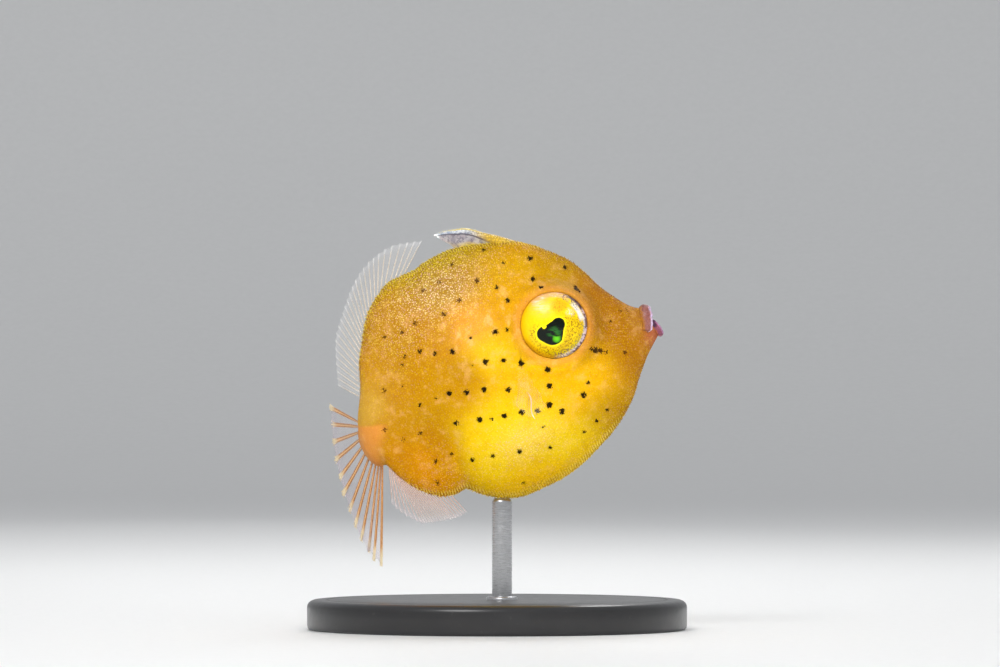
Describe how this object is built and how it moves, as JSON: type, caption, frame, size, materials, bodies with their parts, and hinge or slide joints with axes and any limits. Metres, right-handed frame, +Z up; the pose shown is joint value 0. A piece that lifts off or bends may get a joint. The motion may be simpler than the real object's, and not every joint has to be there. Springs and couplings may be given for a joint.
{
  "type": "filefish",
  "caption": "Life-size model of a small spotted young filefish with its tail turned aside, on a round display stand with one rod",
  "frame": {"origin": "centre of the underside of the stand's base, which is the bottom centre of the bounding box", "axes": "+X the way the fish faces, +Y to its left, +Z up; the fish is pitched nose-up by about 23 degrees"},
  "size_m": [0.019, 0.019, 0.0201],
  "materials": {
    "skin": "golden yellow rough skin with small black spots and a fine pale bristle",
    "eye": "wet golden iris with a black pupil",
    "spine": "pale blue-grey horny spine with a white tip and a whitish web",
    "clear_fin": "clear membrane with fine pale rays",
    "tail_fin": "orange-brown rays on a clear membrane, pale marks near the margin",
    "stand_base": "matt black",
    "stand_rod": "brushed steel"
  },
  "bodies": {
    "root": {"head": "skin", "torso": "skin", "tail_base": "skin", "eye_right": "eye", "eye_left": "eye", "spine_dorsal": "spine", "fin_dorsal_soft": "clear_fin", "fin_anal": "clear_fin", "fin_pectoral_right": "clear_fin", "fin_pectoral_left": "clear_fin", "fin_caudal": "tail_fin", "stand_base": "stand_base", "stand_rod": "stand_rod"}
  },
  "joints": []
}
